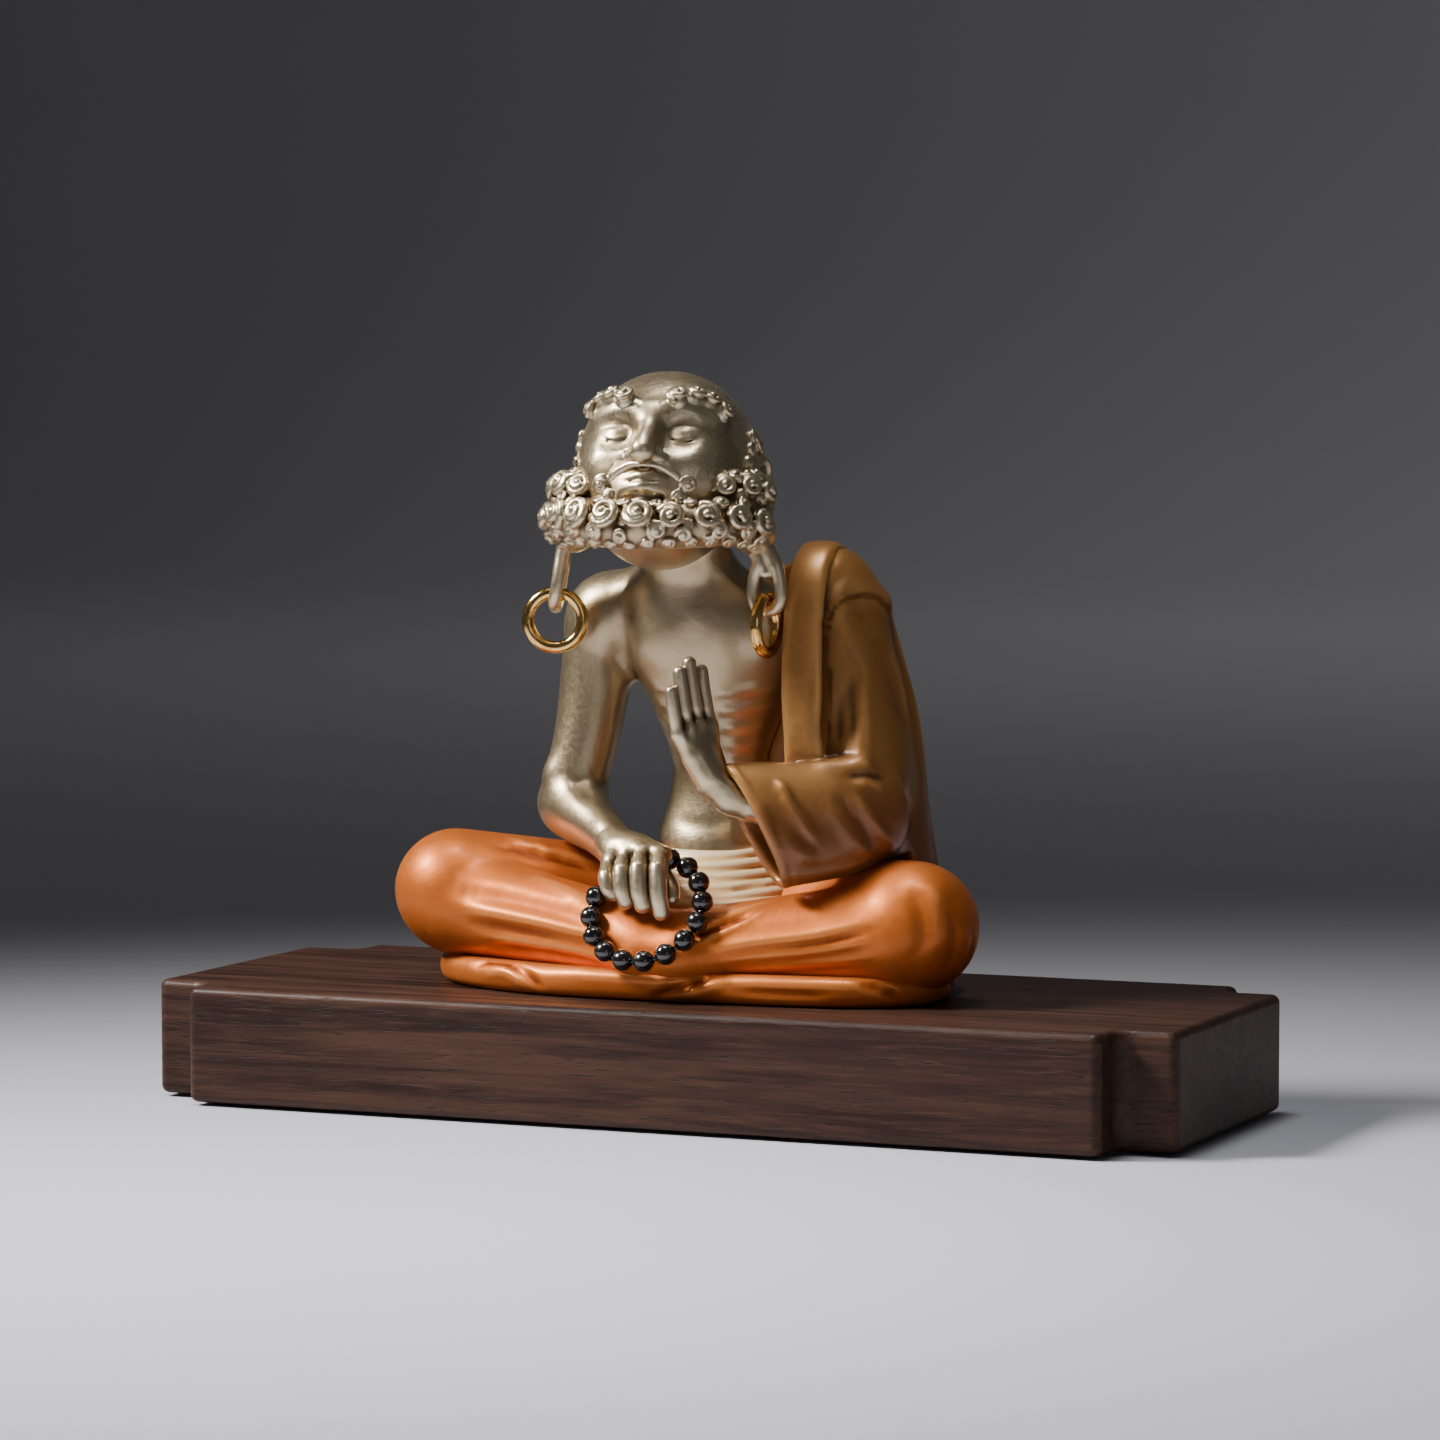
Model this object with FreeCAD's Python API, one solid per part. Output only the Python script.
"""Seated monk figurine in patinated cast metal on a walnut plinth.

The row frame is in millimetres, +Z up, with the origin at the middle of the underside. The figure
faces -Y, so its own left hand is on the +X side. It is built as such castings are: solid legs,
torso and head, brazed arms and hands, a robe in three castings, separate earrings that swing in
the long ear lobes, a string of beads, and a plinth screwed on from below.
"""
import FreeCAD
import Part
import math
import os

from FreeCAD import Vector

OUT = "parts"

# ---- plinth -------------------------------------------------------------------------------
PLINTH_LENGTH = 250.0
PLINTH_WIDTH = 98.0
PLINTH_TOP = 27.5
PAD_PROUD = 0.8            # how far the felt pads stand below the wood
PAD_THICKNESS = 2.0
PAD_RADIUS = 8.0
PAD_X, PAD_Y = 104.0, 34.0
NOTCH_X, NOTCH_Y = 13.8, 11.4   # the step cut out of each corner
OUTER_ROUND = 2.2          # vertical edges that stand out
COVE_ROUND = 4.5           # vertical edge inside each notch
EDGE_ROUND = 1.8           # top and bottom edges

# ---- fixing screws ------------------------------------------------------------------------
SCREW_PLACES = [(-34.0, 2.0), (30.0, 2.0), (-2.0, 20.0)]
SCREW_RADIUS = 2.0
SCREW_HOLE_RADIUS = 2.25
SCREW_HEAD_RADIUS = 3.6
SCREW_HEAD_HEIGHT = 2.4
SCREW_LENGTH = 26.0        # under the head
COUNTERBORE_RADIUS = 5.2
COUNTERBORE_TOP = 9.0      # height of the seat that the washer bears on
WASHER_RADIUS = 4.6
WASHER_THICKNESS = 1.0
SOCKET_ACROSS_FLATS = 2.5
THREAD_CLEARANCE = 0.05

# ---- figure -------------------------------------------------------------------------------
MID_X = -2.0               # the body's middle plane
GROUND = PLINTH_TOP        # the figure sits on the plinth's top face
PLATE_THICKNESS = 2.5
BOSS_RADIUS = 4.5
BOSS_TOP = GROUND + 11.0
HEM_HEIGHT = 7.0
HEM_ROUND = 3.0

SHOULDER_RIGHT = Vector(-28.0, 4.0, 112.0)
ELBOW_RIGHT = Vector(-34.8, -2.0, 69.5)
WRIST_RIGHT = Vector(-15.5, -20.5, 61.0)
ELBOW_LEFT = Vector(39.5, -3.0, 77.0)
WRIST_LEFT = Vector(16.5, -28.5, 74.0)

# ---- head ---------------------------------------------------------------------------------
HEAD = Vector(-5.4, -14.0, 146.6)
HEAD_PITCH = 25.0          # degrees that the face looks up
HEAD_TURN = 9.0            # degrees that the face turns to the figure's left
CRANIUM_RADIUS = 20.4
CRANIUM_RISE = 2.6         # middle of the cranium above the middle of the head
JAW_RADIUS = 16.4
BEARD_RADIUS = 19.5        # to the middle of the beard's band
EAR_ROOM = 0.1             # between the beard and the ears
BEARD_THICK = 6.0          # radius of that band
NECK_ROOM = 11.2           # radius left free round the neck
HAIR_SWEEP = 62.0          # degrees that the hair goes round from the back, each way

# ---- earrings -----------------------------------------------------------------------------
RING_RADIUS = 6.3          # to the middle of the wire
RING_WIRE = 1.4
RING_TURN = 18.0           # degrees that the right lobe and its ring are turned to the front left
LOBE_BAR = 1.5             # radius of the lobe's lower bar, which the ring hangs on
RING_GAP = 0.3             # between the ring's inside and the bar
LOBE_RIGHT = Vector(-33.6, -14.0, 115.3)    # middle of the right lobe's lower bar
LOBE_LEFT = Vector(19.2, -14.4, 115.3)
LOBE_HOLE_RISE = 8.0       # from the lower bar to where the loop closes
LOBE_LEAN = {-1: 1.4, 1: 0.0}   # how far each loop leans towards the head as it rises
LOBE_HALF = 3.3            # from the loop's middle to the middle of each of its sides

# ---- beads --------------------------------------------------------------------------------
BEAD_COUNT = 16
BEAD_RADIUS = 2.5
BEAD_RING_RADIUS = 13.4
BEAD_RING = Vector(-3.6, -30.4, 48.2)
BEAD_RING_LEAN = 34.0      # degrees that the ring leans back from upright
BEAD_CORD = 0.55           # radius of the cord
BEAD_HOLE = 0.8            # radius of the straight hole through each bead


def V(x, y, z):
    return Vector(x, y, z)


def frame_along(direction, hint):
    """Two unit vectors square to direction, the first one nearest to hint."""
    n = Vector(direction).normalize()
    x = hint - n * hint.dot(n)
    x.normalize()
    return x, n.cross(x)


def ring_wire(centre, normal, hint, half_x, half_y):
    """A closed smooth wire: an ellipse with half_x along hint and half_y square to it."""
    x, y = frame_along(normal, hint)
    count = 12
    points = []
    for k in range(count):
        a = 2 * math.pi * k / count
        points.append(centre + x * (half_x * math.cos(a)) + y * (half_y * math.sin(a)))
    curve = Part.BSplineCurve()
    curve.interpolate(points, PeriodicFlag=True)
    return Part.Wire([curve.toShape()])


def limb(stations, hint=Vector(0, 1, 0), round_start=True, round_end=True):
    """A lofted limb through (centre, half_x, half_y) stations, with domed ends where asked."""
    centres = [s[0] for s in stations]
    wires = []
    last = len(stations) - 1
    for k, (centre, half_x, half_y) in enumerate(stations):
        direction = centres[min(k + 1, last)] - centres[max(k - 1, 0)]
        direction.normalize()
        if k == 0 and round_start:
            wires += dome(centre, direction * -1, direction, hint, half_x, half_y)[::-1]
        wires.append(ring_wire(centre, direction, hint, half_x, half_y))
        if k == last and round_end:
            wires += dome(centre, direction, direction, hint, half_x, half_y)
    return Part.makeLoft(wires, True, False)


def planes(sections):
    """A loft through (centre, normal, hint, half_x, half_y) sections whose planes are given."""
    return Part.makeLoft([ring_wire(*section) for section in sections], True, False)


def dome(centre, outward, normal, hint, half_x, half_y):
    """Shrinking wires that close a limb's end as a dome, from the widest to the smallest."""
    depth = min(half_x, half_y)
    wires = []
    for angle in (35, 62, 82):
        shrink = math.cos(math.radians(angle))
        rise = depth * math.sin(math.radians(angle))
        wires.append(ring_wire(centre + outward * rise, normal, hint, half_x * shrink, half_y * shrink))
    return wires


def upright(sections, hint=Vector(1, 0, 0)):
    """A loft of level ellipses (x, y, z, half_x, half_y)."""
    wires = [ring_wire(V(x, y, z), V(0, 0, 1), hint, hx, hy) for x, y, z, hx, hy in sections]
    return Part.makeLoft(wires, True, False)


def ball(centre, radius):
    return Part.makeSphere(radius, centre)


def capsule(a, b, radius_a, radius_b):
    """A tapered finger between two ball ends."""
    axis = b - a
    cone = Part.makeCone(radius_a, radius_b, axis.Length, a, axis) if abs(radius_a - radius_b) > 1e-6 \
        else Part.makeCylinder(radius_a, axis.Length, a, axis)
    return cone.fuse([ball(a, radius_a), ball(b, radius_b)]).removeSplitter()


def fuse_all(shapes):
    joined = shapes[0].fuse(shapes[1:]) if len(shapes) > 1 else shapes[0]
    return joined.removeSplitter()


def slab(low_z, high_z):
    """Everything between two heights."""
    return Part.makeBox(400, 400, high_z - low_z, V(-200, -200, low_z))


def outline_face(points, z):
    """A face inside a smooth closed curve through (x, y) points at height z."""
    curve = Part.BSplineCurve()
    curve.interpolate([V(x, y, z) for x, y in points], PeriodicFlag=True)
    return Part.Face(Part.Wire([curve.toShape()]))


def head_point(right, forward, up):
    """A point in the head's own axes: right is its left side (+X), forward is out of the face."""
    across, ahead, above = [head_rotation().multVec(axis) for axis in (V(1, 0, 0), V(0, -1, 0), V(0, 0, 1))]
    return HEAD + across * right + ahead * forward + above * up


def head_rotation():
    """How the head is turned and tipped from looking straight ahead."""
    return FreeCAD.Rotation(V(0, 0, 1), HEAD_TURN).multiply(FreeCAD.Rotation(V(1, 0, 0), -HEAD_PITCH))


# ---- plinth and its hardware --------------------------------------------------------------

def plinth():
    """The walnut board with a square step, coved inside, cut out of each corner."""
    half_x, half_y = PLINTH_LENGTH / 2, PLINTH_WIDTH / 2
    quarter = [(half_x, half_y - NOTCH_Y), (half_x - NOTCH_X, half_y - NOTCH_Y), (half_x - NOTCH_X, half_y)]
    corners = quarter + [(-x, y) for x, y in quarter[::-1]]
    corners += [(-x, -y) for x, y in quarter] + [(x, -y) for x, y in quarter[::-1]]
    points = [V(x, y, PAD_PROUD) for x, y in corners]
    board = Part.Face(Part.makePolygon(points + points[:1])).extrude(V(0, 0, PLINTH_TOP - PAD_PROUD))
    coves, outers = [], []
    for edge in board.Edges:
        a, b = edge.Vertexes[0].Point, edge.Vertexes[1].Point
        if abs(a.x - b.x) > 0.01 or abs(a.y - b.y) > 0.01:
            continue
        inside = abs(abs(a.x) - (half_x - NOTCH_X)) < 0.01 and abs(abs(a.y) - (half_y - NOTCH_Y)) < 0.01
        (coves if inside else outers).append(edge)
    board = board.makeFillet(COVE_ROUND, coves)
    outers = [e for e in board.Edges if is_upright(e) and on_outer_corner(e, half_x, half_y)]
    board = board.makeFillet(OUTER_ROUND, outers)
    rims = [e for e in board.Edges if abs(e.BoundBox.ZMin - e.BoundBox.ZMax) < 1e-4]
    board = board.makeFillet(EDGE_ROUND, rims)
    cuts = []
    for x, y in SCREW_PLACES:
        cuts.append(Part.makeCylinder(SCREW_HOLE_RADIUS, PLINTH_TOP + 2, V(x, y, -1)))
        cuts.append(Part.makeCylinder(COUNTERBORE_RADIUS, COUNTERBORE_TOP + 1, V(x, y, -1)))
    for x, y in pad_places():
        cuts.append(Part.makeCylinder(PAD_RADIUS + 0.1, PAD_THICKNESS + 1, V(x, y, -1)))
    return board.cut(cuts)


def is_upright(edge):
    a, b = edge.Vertexes[0].Point, edge.Vertexes[-1].Point
    return abs(a.x - b.x) < 0.01 and abs(a.y - b.y) < 0.01 and abs(a.z - b.z) > 1.0


def on_outer_corner(edge, half_x, half_y):
    p = edge.Vertexes[0].Point
    on_end = abs(abs(p.x) - half_x) < 0.01 and abs(abs(p.y) - (half_y - NOTCH_Y)) < 0.01
    on_side = abs(abs(p.y) - half_y) < 0.01 and abs(abs(p.x) - (half_x - NOTCH_X)) < 0.01
    return on_end or on_side


def pad_places():
    return [(sx * PAD_X, sy * PAD_Y) for sx in (-1, 1) for sy in (-1, 1)]


def foot_pads():
    pads = [Part.makeCylinder(PAD_RADIUS, PAD_THICKNESS, V(x, y, 0)) for x, y in pad_places()]
    return Part.makeCompound(pads)


def fixing_screws():
    screws = []
    head_z = COUNTERBORE_TOP - WASHER_THICKNESS - SCREW_HEAD_HEIGHT
    for x, y in SCREW_PLACES:
        head = Part.makeCylinder(SCREW_HEAD_RADIUS, SCREW_HEAD_HEIGHT, V(x, y, head_z))
        head = head.makeFillet(0.5, [e for e in head.Edges if e.BoundBox.ZMax < head_z + 0.01])
        shank = Part.makeCylinder(SCREW_RADIUS, SCREW_LENGTH, V(x, y, head_z + SCREW_HEAD_HEIGHT))
        corner = SOCKET_ACROSS_FLATS / math.sqrt(3)
        ring = [V(x + corner * math.cos(math.radians(60 * k)), y + corner * math.sin(math.radians(60 * k)),
                  head_z - 0.1) for k in range(7)]
        socket = Part.Face(Part.makePolygon(ring)).extrude(V(0, 0, 1.5))
        screws.append(head.fuse(shank).cut(socket).removeSplitter())
    return Part.makeCompound(screws)


def fixing_washers():
    z = COUNTERBORE_TOP - WASHER_THICKNESS
    washers = []
    for x, y in SCREW_PLACES:
        disc = Part.makeCylinder(WASHER_RADIUS, WASHER_THICKNESS, V(x, y, z))
        washers.append(disc.cut(Part.makeCylinder(SCREW_HOLE_RADIUS, WASHER_THICKNESS, V(x, y, z))))
    return Part.makeCompound(washers)


# ---- seat, legs and hem -------------------------------------------------------------------

HEM_OUTLINE = [(-66, -8), (-58, -20), (-44, -28.5), (-22, -33.5), (6, -33.6), (34, -31.2), (50, -26.5),
               (59, -17), (59.5, -3), (53, 14), (36, 27), (12, 33), (-14, 33.5), (-38, 28), (-57, 14)]


def shrunk(points, share, dx=0.0, dy=0.0):
    """The same outline, smaller about the body's middle plane."""
    return [(MID_X + (x - MID_X) * share + dx, y * share + dy) for x, y in points]


def robe_hem():
    """The rolled hem that the figure sits on, a band round the seat plate."""
    outer = outline_face(HEM_OUTLINE, GROUND).extrude(V(0, 0, HEM_HEIGHT))
    outer = outer.makeFillet(HEM_ROUND, rim_edges(outer))
    inner = outline_face(shrunk(HEM_OUTLINE, 0.84), GROUND - 1).extrude(V(0, 0, HEM_HEIGHT + 2))
    return outer.cut(inner)


def rim_edges(shape):
    return [e for e in shape.Edges if abs(e.BoundBox.ZMin - e.BoundBox.ZMax) < 1e-3]


def seat_form():
    """The plate that closes the legs from below, with three bosses for the screws."""
    plate = outline_face(shrunk(HEM_OUTLINE, 0.835), GROUND).extrude(V(0, 0, PLATE_THICKNESS))
    bosses = [Part.makeCylinder(BOSS_RADIUS, BOSS_TOP - GROUND, V(x, y, GROUND)) for x, y in SCREW_PLACES]
    return plate.fuse(bosses).removeSplitter()


def seat_plate():
    """The closing plate with its bosses tapped through."""
    tapped = SCREW_RADIUS + THREAD_CLEARANCE
    holes = [Part.makeCylinder(tapped, BOSS_TOP, V(x, y, GROUND - 1)) for x, y in SCREW_PLACES]
    return seat_form().cut(holes)


# Each leg as a thigh and a shin: both ends and the radius there, the right leg first.
THIGHS = [(V(-14, 14, 42.5), V(-60.2, -11.6, 48.6), 13.0, 13.4),
          (V(12, 14, 42.5), V(53.4, -11, 44.6), 13.5, 14.1)]
SHINS = [(V(-57, -14, 46), V(3, -25.6, 38), 11.0, 8.0),
         (V(50, -14, 42.5), V(-5, -25, 37.4), 12.0, 8.0)]


def seat_block():
    """The cloth between the legs, from the hem up to the waist."""
    return upright([(MID_X, -1, 29.8, 52, 27), (MID_X, -1, 35, 50, 26.5), (MID_X, 2, 42, 41, 24),
                    (MID_X, 5, 48, 27, 19.5), (MID_X, 6, 53, 18, 14)])


def trousers():
    """Both crossed legs and the lap in one casting."""
    legs = [capsule(hip, knee, wide, round_end) for hip, knee, wide, round_end in THIGHS + SHINS]
    return fuse_all([seat_block()] + legs).common(slab(GROUND + PLATE_THICKNESS, 80))


def waist_sash():
    """The pleated sash round the waist, resting on the lap."""
    return upright([(MID_X + 1, 3.5, 45, 25.5, 19.5), (MID_X + 0.8, 4, 49, 23.5, 18),
                    (MID_X + 0.4, 5, 53.5, 19.5, 15.5), (MID_X, 6, 58, 16.4, 13.2),
                    (MID_X, 6.2, 59.5, 15.4, 12.4)])


# ---- torso and arms -----------------------------------------------------------------------

TORSO = [(MID_X, 6.5, 52.5, 15, 12), (MID_X, 6.5, 60, 13.8, 11), (MID_X + 0.2, 8, 70, 12, 9.8),
         (MID_X + 0.5, 8, 80, 11.6, 9.8), (MID_X + 0.8, 6, 90, 15, 11.5), (MID_X + 1, 4, 100, 19.5, 13),
         (MID_X + 1, 2.5, 109, 23.5, 13.5), (MID_X + 1, 1.5, 115.5, 22.5, 12.5),
         (MID_X + 0.5, 0, 121, 15, 10.5), (MID_X - 1.5, -3.5, 125.5, 10.2, 9.5),
         (MID_X - 3, -7, 131, 9.6, 9)]


def torso():
    """The bare chest, belly and neck, with the stub of the right shoulder."""
    shoulder = limb([(V(-16, 2.5, 113.0), 8, 8), (SHOULDER_RIGHT, 8.2, 8.0)], V(0, 0, 1), True, True)
    return fuse_all([upright(TORSO), shoulder])


def right_upper_arm():
    return limb([(SHOULDER_RIGHT, 8.6, 9.0), (V(-30.2, 2.2, 100), 8.3, 8.4), (V(-31.8, 0.2, 86), 7.5, 7.6),
                 (V(-33.8, -1.6, 75), 7.3, 7.4), (ELBOW_RIGHT, 7.4, 7.4)], V(1, 0, 0), True, True)


def right_forearm():
    return limb([(ELBOW_RIGHT + V(-0.2, 0.2, -0.4), 7.3, 7.3), (V(-28.5, -8.8, 66.6), 7.2, 6.6),
                 (V(-21.5, -15.2, 63.8), 5.6, 5.0), (WRIST_RIGHT, 4.8, 4.2)], V(0, 0, 1), True, True)


FINGERS_RIGHT = [  # knuckle, middle joint, tip, radius: little finger to index finger
    (V(-14.6, -27.2, 57.2), V(-13.2, -30.6, 53.5), V(-11.2, -30.2, 51.2), 1.65),
    (V(-10.6, -28.6, 58.4), V(-9.6, -32.2, 53.8), V(-7.4, -31.6, 48.9), 1.8),
    (V(-6.4, -28.8, 59.2), V(-5.6, -32.6, 54.0), V(-3.9, -32.2, 47.8), 1.85),
    (V(-2.2, -27.8, 59.6), V(-1.2, -31.4, 54.2), V(0.6, -31.8, 46.4), 1.8),
]


def right_hand():
    """The hand resting on the lap, palm down, with its fingers over the beads."""
    heel = WRIST_RIGHT + V(1.0, -0.8, -0.6)
    parts = []
    for knuckle, middle, tip, radius in FINGERS_RIGHT:
        parts.append(capsule(heel, knuckle, 3.6, radius + 0.4))
        parts.append(capsule(knuckle, middle, radius, radius * 0.95))
        parts.append(capsule(middle, tip, radius * 0.95, radius * 0.82))
    thumb = V(-1.4, -25.2, 54.8)
    parts.append(capsule(V(-8.6, -22.6, 58.4), thumb, 2.6, 2.0))
    parts.append(capsule(thumb, V(2.2, -28.0, 50.6), 2.0, 1.6))
    return fuse_all(parts)


FINGERS_LEFT = [  # root, tip, radius: little finger to index finger
    (V(6.6, -35.0, 89.2), V(5.6, -36.2, 98.0), 1.45),
    (V(7.8, -33.0, 90.6), V(6.6, -34.3, 102.4), 1.6),
    (V(9.2, -30.8, 91.0), V(7.6, -32.0, 104.6), 1.65),
    (V(10.6, -28.6, 90.4), V(9.4, -29.6, 102.6), 1.6),
]


def left_hand():
    """The raised left hand, palm to the figure's right, fingers up, with its wrist."""
    heel = V(12.0, -30.4, 77.6)
    parts = [capsule(V(23.0, -25.4, 72.4), WRIST_LEFT, 4.2, 3.9), capsule(WRIST_LEFT, heel, 3.9, 3.5)]
    for root, tip, radius in FINGERS_LEFT:
        parts.append(capsule(heel, root, 3.3, radius + 0.2))
        parts.append(capsule(root, tip, radius, radius * 0.8))
    parts.append(capsule(V(11.2, -28.8, 80.0), V(8.6, -26.4, 91.0), 2.1, 1.5))
    return fuse_all(parts)


# ---- robe ---------------------------------------------------------------------------------

# Level ellipses (x, y, z, half_x, half_y) of the robe's body, and of its fall down the back.
ROBE = [(25, 8, 32, 32, 25.5), (27, 8.5, 42, 27, 23), (28.4, 9, 50, 22.6, 21.5), (27.5, 8, 60, 22, 20.5),
        (25.5, 7.5, 76, 23, 18.5), (23.8, 6.5, 94, 22.6, 16.8), (22.2, 5.2, 108, 20.2, 15.2),
        (22.8, 4.2, 118, 17.0, 13.0), (24.8, 3.6, 125, 11.5, 9.6), (26, 3.4, 129.6, 4.6, 4.2)]
ROBE_BACK = [(4, 15.5, 33, 35, 17), (5, 15.5, 42, 27, 14), (5.5, 15.5, 50, 20.5, 11), (6, 15, 62, 16.5, 9.5),
             (6, 14.6, 78, 16, 8.2), (7, 12.4, 94, 17, 8.0), (9, 9.4, 108, 17, 8.0), (13, 7.0, 118, 13, 7.4),
             (17, 5.6, 124.5, 9, 6)]


def robe_body():
    """The robe over the left shoulder, arm and back, cut away to leave the chest bare."""
    outer = upright(ROBE)
    back = upright(ROBE_BACK)
    bare = Part.makeBox(60, 60, 120, V(-36.5, -52.5, 30))
    lap = Part.makeBox(120, 60, 30, V(-60, -58, 30))
    return outer.fuse(back).removeSplitter().cut([bare, lap])


LAPEL = [(V(22.6, 20.5, 92), 5.2, 1.5), (V(24.4, 18.2, 110), 5.2, 1.5), (V(25.6, 11.6, 124), 5.0, 1.5),
         (V(25.8, 2.6, 129.2), 4.8, 1.5), (V(26.2, -6.0, 124.2), 4.8, 1.5), (V(27.0, -11.6, 112), 5.0, 1.5),
         (V(27.8, -14.2, 98), 5.0, 1.5), (V(28.6, -15.2, 84), 5.0, 1.5), (V(28.8, -15.6, 76), 5.0, 1.5)]


def robe_lapel():
    """The folded edge of the robe, a band from the back over the shoulder and down the chest."""
    return limb(LAPEL, V(1, 0, 0), False, False)


CUFF_HANG = V(-0.46, -0.06, 0.88)     # the way the cuff's mouth runs, from its low end to its top
CUFF_AHEAD = V(-0.62, -0.70, -0.36)   # the way the forearm points, square to the cuff's mouth


def cuff_form(grow, mouth_reach):
    """The wide cuff that hangs from the left wrist, or with a negative grow its inside."""
    ahead = V(-0.30, -0.85, -0.30)
    return planes([
        (V(41.5, -3.0, 73.5), ahead, V(0, 0, 1), 11.5 + grow, 9.0 + grow),
        (V(37.0, -12.5, 69.5), ahead, CUFF_HANG, 13.4 + grow, 8.8 + grow),
        (V(30.5, -20.5, 68.6), CUFF_AHEAD, CUFF_HANG, 14.4 + grow, 7.0 + grow),
        (V(22.4, -28.4, 67.8) + CUFF_AHEAD * mouth_reach, CUFF_AHEAD, CUFF_HANG, 15.2 + grow, 5.8 + grow)])


def robe_sleeve():
    """The left sleeve: the upper arm, the bent elbow and the wide cuff, hollow at its mouth."""
    arm = limb([(V(33.0, 1.0, 112), 8.0, 8.6), (V(36.4, -0.6, 98), 8.6, 8.8), (V(38.6, -2.0, 86), 9.0, 9.2),
                (ELBOW_LEFT, 9.2, 9.4)], V(1, 0, 0), True, True)
    inside = cuff_form(-1.6, 2.0).common(Part.makeBox(60, 40, 60, V(-20, -58, 40)))
    return fuse_all([arm, cuff_form(0.0, 0.0)]).cut(inside)


# ---- head ---------------------------------------------------------------------------------

def skull_front(right, up):
    """How far forward the cranium's surface is at a place on the face."""
    return math.sqrt(CRANIUM_RADIUS ** 2 - right ** 2 - (up - CRANIUM_RISE) ** 2)


def head():
    """The head casting: cranium, jaw, cheeks, nose, closed lids and lips."""
    parts = [
        ball(head_point(0, 0, CRANIUM_RISE), CRANIUM_RADIUS),
        ball(head_point(0, 3.6, -8.0), JAW_RADIUS),
        capsule(head_point(0, 19.0, 5.0), head_point(0, 21.2, -2.6), 1.8, 2.8),        # nose
        capsule(head_point(-3.4, 17.4, -9.6), head_point(3.4, 17.4, -9.6), 1.6, 1.6),   # upper lip
        capsule(head_point(-2.6, 16.9, -12.2), head_point(2.6, 16.9, -12.2), 1.7, 1.7),   # lower lip
    ]
    for side in (-1, 1):
        parts.append(ball(head_point(side * 7.4, 15.6, 3.4), 4.2))      # closed lid
        parts.append(ball(head_point(side * 2.8, 19.6, -3.4), 1.9))     # wing of the nose
        parts.append(ball(head_point(side * 9.2, 11.6, -4.6), 6.2))     # cheek
    return fuse_all(parts)


def beard_curls():
    """Centres and radii of the beard's curls: rows that follow the jaw from ear to ear."""
    curls = []
    for row, (drop, reach, count, radius) in enumerate([(-8.6, 1.0, 15, 3.3), (-13.2, 1.06, 15, 3.6),
                                                        (-17.4, 0.98, 14, 3.4)]):
        for k in range(count):
            a = math.radians(-88 + 176.0 * (k + 0.5 * (row % 2)) / count)
            sink = 0.0 if row else -5.0 * math.cos(a) ** 4
            curls.append((head_point(25.0 * reach * math.sin(a), 19.4 * reach * math.cos(a) - 1.0,
                                     drop + sink), radius))
    return curls


def neck_space():
    """The room that the hair and the beard leave round the neck."""
    low, high = V(MID_X - 0.6, -3.4, 112), V(MID_X - 3.4, -8.0, 136)
    return Part.makeCylinder(NECK_ROOM, (high - low).Length, low, high - low)


def beard():
    """The curled beard: a round band under the jaw, studded with snail curls."""
    above = head_point(0, 0, 1) - HEAD
    band = Part.makeTorus(BEARD_RADIUS, BEARD_THICK, head_point(0, -1.0, -13.6), above)
    front = Part.makeBox(120, 60, 120, V(-60, 0, -60))
    front.Placement = FreeCAD.Placement(head_point(0, -3.0, 0), head_rotation()).multiply(
        FreeCAD.Placement(V(0, -60, 0), FreeCAD.Rotation()))
    chin = [capsule(head_point(-12, 8.0, -16.5), head_point(12, 8.0, -16.5), 7.0, 7.0),
            capsule(head_point(-8, 14.0, -17.0), head_point(8, 14.0, -17.0), 6.4, 6.4)]
    curls = [ball(centre, radius) for centre, radius in beard_curls()]
    return fuse_all([band.common(front)] + chin + curls).cut(neck_space())


def moustache():
    """Two locks that part under the nose."""
    middle = head_point(0, 20.4, -6.6)
    locks = []
    for side in (-1, 1):
        bend, end = head_point(side * 4.6, 19.6, -7.8), head_point(side * 9.0, 17.8, -11.0)
        locks += [capsule(middle, bend, 1.5, 1.4), capsule(bend, end, 1.4, 1.1)]
    return fuse_all(locks)


def eyebrow(side):
    """One eyebrow: a row of curls over the lid."""
    balls = []
    for k in range(6):
        out, up = 4.4 + 2.3 * k, 8.4 + 1.6 * math.sin(math.pi * k / 5.0)
        balls.append(ball(head_point(side * out, skull_front(out, up) + 0.4, up), 1.9))
    return fuse_all(balls)


def hair_fringe():
    """The curls round the back and sides of the bald head."""
    balls = []
    for rise, reach, count in ((1.5, 1.0, 12), (-3.2, 0.98, 12), (-7.6, 0.9, 11)):
        for k in range(count):
            a = math.radians(HAIR_SWEEP * (2.0 * k / (count - 1) - 1.0))
            balls.append(ball(head_point(21.0 * reach * math.sin(a), -20.6 * reach * math.cos(a), rise), 3.0))
    return fuse_all(balls).cut(neck_space())


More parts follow.
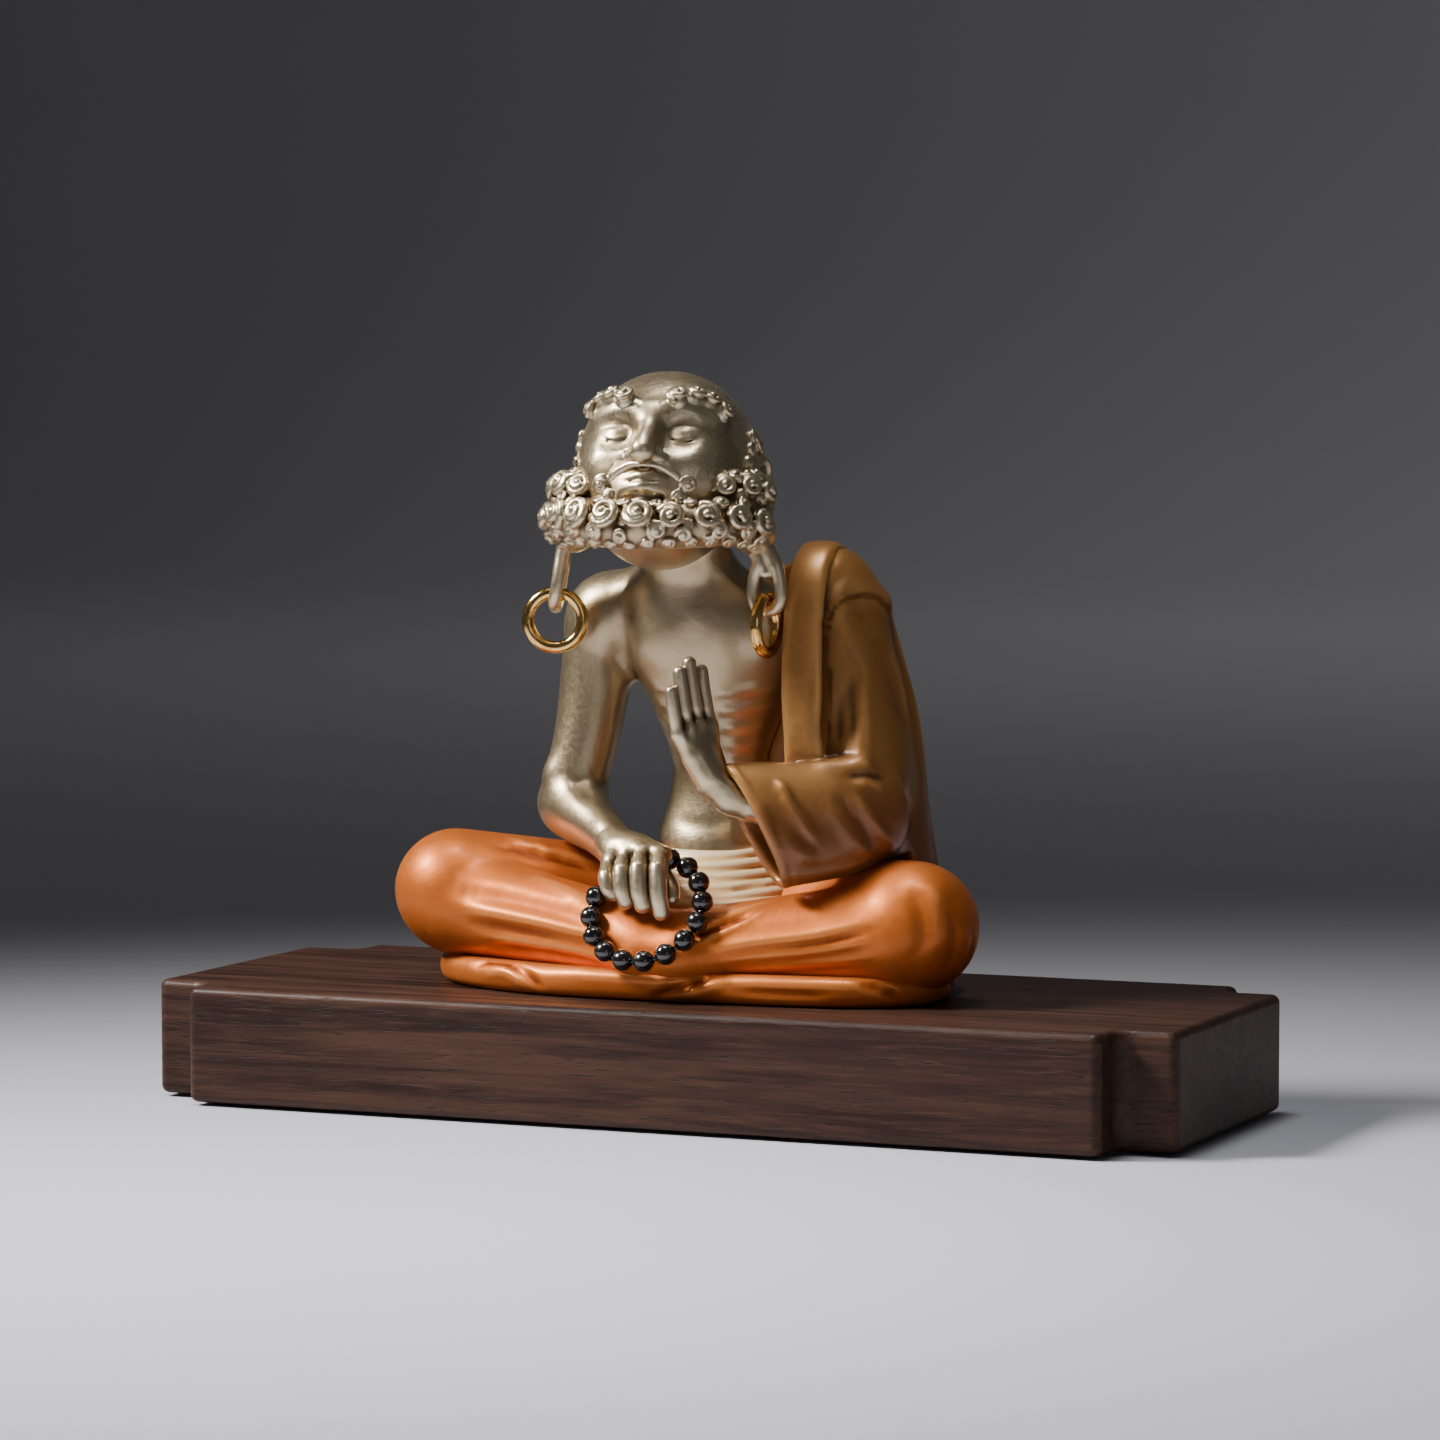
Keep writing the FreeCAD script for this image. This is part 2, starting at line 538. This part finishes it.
def ear(side, grow=0.0):
    """A long ear: the shell beside the head, and a lobe that ends in the loop for the ring."""
    def rod(start, end, first, last):
        return capsule(start, end, first + grow, last + grow)

    bar = LOBE_RIGHT if side < 0 else LOBE_LEFT
    across = bar_direction(side)
    rim_top, rim_low = head_point(side * 21.2, -4.6, 7.0), head_point(side * 21.6, -2.4, -4.0)
    fold = V(bar.x - side * 3.0, bar.y + 0.5, 132)
    shell = [rod(rim_top, rim_low, 3.4, 3.0), rod(head_point(side * 20.6, -7.4, 5.0), rim_low, 2.8, 2.6)]
    rise = V(-side * LOBE_LEAN[side], 0, LOBE_HOLE_RISE)
    neck = [rod(rim_low, fold, 3.0, 2.5), rod(fold, bar + rise + V(0, 0, LOBE_BAR), 2.5, 2.3)]
    left, right = bar - across * LOBE_HALF, bar + across * LOBE_HALF
    corner = 1.6
    low_left, low_right = left + V(0, 0, corner), right + V(0, 0, corner)
    ends = [(left + across * corner, right - across * corner), (left + across * corner, low_left),
            (right - across * corner, low_right), (low_left, left + rise), (low_right, right + rise),
            (left + rise, right + rise)]
    loop = [rod(start, end, LOBE_BAR, LOBE_BAR) for start, end in ends]
    return fuse_all(shell + neck + loop)


def bar_direction(side):
    """The way the lobe's lower bar runs, which is also the ring's own axis."""
    turn = math.radians(RING_TURN)
    return V(-math.sin(turn), math.cos(turn), 0) if side < 0 else V(1, 0, 0)


def ring_centre(side):
    """Where the ring's middle hangs below the lobe's bar."""
    bar = LOBE_RIGHT if side < 0 else LOBE_LEFT
    return bar - V(0, 0, RING_RADIUS - RING_WIRE - LOBE_BAR - RING_GAP)


def earring(side):
    """A plain round ring through the lobe: facing forward on the right, sideways on the left."""
    return Part.makeTorus(RING_RADIUS, RING_WIRE, ring_centre(side), bar_direction(side))


# ---- beads --------------------------------------------------------------------------------

def bead_axes():
    lean = math.radians(BEAD_RING_LEAN)
    return V(1, 0, 0), V(0, math.sin(lean), math.cos(lean))


def bead_centre(k):
    across, up = bead_axes()
    a = 2 * math.pi * (k + 0.5) / BEAD_COUNT
    return BEAD_RING + across * (BEAD_RING_RADIUS * math.sin(a)) + up * (-BEAD_RING_RADIUS * math.cos(a))


def bead_cord():
    across, up = bead_axes()
    return Part.makeTorus(BEAD_RING_RADIUS, BEAD_CORD, BEAD_RING, across.cross(up))


def bead():
    """One round bead about the Z axis, turned with its hole."""
    half = math.sqrt(BEAD_RADIUS ** 2 - BEAD_HOLE ** 2)
    top, low = V(BEAD_HOLE, 0, half), V(BEAD_HOLE, 0, -half)
    outside = Part.Arc(top, V(BEAD_RADIUS, 0, 0), low).toShape()
    profile = Part.Face(Part.Wire([outside, Part.LineSegment(low, top).toShape()]))
    return profile.revolve(V(0, 0, 0), V(0, 0, 1), 360)


def prayer_beads():
    """The loose beads, side by side on their cord."""
    beads = []
    normal = bead_axes()[0].cross(bead_axes()[1])
    for k in range(BEAD_COUNT):
        centre = bead_centre(k)
        along = (centre - BEAD_RING).cross(normal).normalize()
        piece = bead()
        piece.Placement = FreeCAD.Placement(centre, FreeCAD.Rotation(V(0, 0, 1), along))
        beads.append(piece)
    return Part.makeCompound(beads)


# ---- inside -------------------------------------------------------------------------------

def torso_stud():
    """The threaded stud that ties the torso down to the seat plate."""
    return Part.makeCylinder(2.5, 60, V(MID_X, 6.5, GROUND + PLATE_THICKNESS))


def neck_dowel():
    """The dowel that lines the head up with the neck."""
    return Part.makeCylinder(2.5, 18, V(MID_X - 2.6, -6.4, 123), V(-0.12, -0.18, 1))


def forms():
    """Every piece's full shape, in the order in which they are let into each other."""
    return {
        "plinth": plinth(), "foot_pads": foot_pads(), "fixing_screws": fixing_screws(),
        "fixing_washers": fixing_washers(), "seat_plate": seat_plate(), "torso_stud": torso_stud(),
        "neck_dowel": neck_dowel(), "robe_hem": robe_hem(), "trousers": trousers(), "head": head(),
        "torso": torso(), "waist_sash": waist_sash(), "right_upper_arm": right_upper_arm(),
        "right_forearm": right_forearm(), "bead_cord": bead_cord(), "prayer_beads": prayer_beads(),
        "right_hand": right_hand(), "left_hand": left_hand(), "robe_lapel": robe_lapel(),
        "robe_sleeve": robe_sleeve(), "robe_body": robe_body(), "left_ear": ear(1), "right_ear": ear(-1),
        "beard": beard(), "moustache": moustache(), "right_eyebrow": eyebrow(-1), "left_eyebrow": eyebrow(1),
        "hair_fringe": hair_fringe(), "right_earring": earring(-1), "left_earring": earring(1),
    }


# Which pieces keep their shape where another piece is let into them.
LET_INTO = {
    "trousers": ["seat_form", "torso_stud", "robe_hem"],
    "head": ["neck_dowel"],
    "torso": ["torso_stud", "neck_dowel", "trousers", "head"],
    "waist_sash": ["trousers", "torso"],
    "right_upper_arm": ["torso"],
    "right_forearm": ["right_upper_arm"],
    "right_hand": ["right_forearm", "bead_cord", "prayer_beads", "trousers"],
    "robe_lapel": ["torso"],
    "robe_sleeve": ["torso", "left_hand", "robe_lapel", "trousers"],
    "robe_body": ["torso", "robe_lapel", "robe_sleeve", "trousers", "waist_sash", "robe_hem"],
    "left_ear": ["head"],
    "right_ear": ["head"],
    "beard": ["head", "left_ear_space", "right_ear_space"],
    "moustache": ["head"],
    "right_eyebrow": ["head"],
    "left_eyebrow": ["head"],
    "hair_fringe": ["head"],
}


def spaces():
    """Shapes that only make room: the seat's form, and the ears with a little air round them."""
    return {"seat_form": seat_form(), "left_ear_space": ear(1, EAR_ROOM), "right_ear_space": ear(-1, EAR_ROOM)}


def let_in(shapes):
    """Cuts each piece back from the pieces that keep their shape, so that they meet face to face."""
    fitted = dict(shapes)
    fitted.update(spaces())
    for name in shapes:
        for keeper in LET_INTO.get(name, []):
            fitted[name] = fitted[name].cut(fitted[keeper])
    return {name: fitted[name] for name in shapes}


SEVERAL = ("foot_pads", "fixing_screws", "fixing_washers", "prayer_beads")    # nodes of several solids


def export(name, shape):
    """Writes one node: its solids, or only the largest where the cuts leave crumbs beside it."""
    solids = sorted(shape.Solids, key=lambda solid: -solid.Volume)
    result = Part.makeCompound(solids) if name in SEVERAL else solids[0]
    bad = [k for k, solid in enumerate(solids) if not solid.isValid()]
    box = result.optimalBoundingBox()
    print("%-16s solids %2d volume %9.1f x %6.1f..%6.1f y %6.1f..%6.1f z %6.1f..%6.1f%s" % (
        name, len(solids), result.Volume, box.XMin, box.XMax, box.YMin, box.YMax,
        box.ZMin, box.ZMax, "  INVALID %s" % bad if bad else ""))
    result.exportStep(os.path.join(OUT, name + ".step"))


def main():
    os.makedirs(OUT, exist_ok=True)
    for name, shape in let_in(forms()).items():
        export(name, shape)


main()
